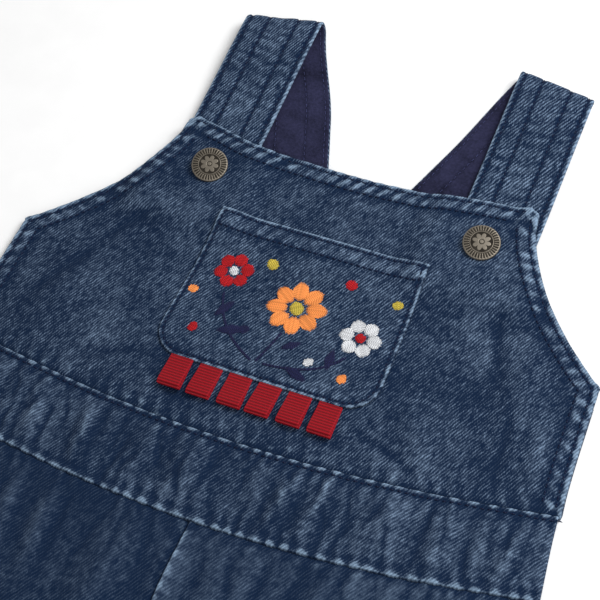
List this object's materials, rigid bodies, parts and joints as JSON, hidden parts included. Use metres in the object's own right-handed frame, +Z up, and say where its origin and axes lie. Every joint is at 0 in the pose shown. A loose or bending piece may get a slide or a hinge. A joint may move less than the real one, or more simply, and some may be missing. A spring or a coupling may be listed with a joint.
{
  "type": "kids dungarees",
  "caption": "Child's denim bib dungarees laid flat, with shoulder straps folded over to buttons on the bib, a patch pocket with ribbon loops, a waistband and straight legs.",
  "frame": {"origin": "on the surface the garment lies on, under the middle of its bounding box", "axes": "+Y from the leg hems to the shoulder folds, +Z up through the cloth from back to front, +X to the right of someone looking at the front"},
  "size_m": [0.2958, 0.683, 0.0088],
  "materials": {
    "denim": "washed mid-blue cotton denim",
    "lining": "plain navy cotton",
    "ribbon": "red grosgrain ribbon",
    "button_metal": "antiqued, satin"
  },
  "bodies": {
    "root": {"front_bib": "denim", "front_waistband": "denim", "front_leg_left": "denim", "front_leg_right": "denim", "back_bib": "denim", "back_waistband": "denim", "back_leg_left": "denim", "back_leg_right": "denim", "strap_left": "denim", "strap_right": "denim", "bib_pocket": "denim", "strap_lining_left": "lining", "strap_lining_right": "lining", "ribbon_loop_1": "ribbon", "ribbon_loop_2": "ribbon", "ribbon_loop_3": "ribbon", "ribbon_loop_4": "ribbon", "ribbon_loop_5": "ribbon", "ribbon_loop_6": "ribbon", "button_left": "button_metal", "button_right": "button_metal"}
  },
  "joints": []
}
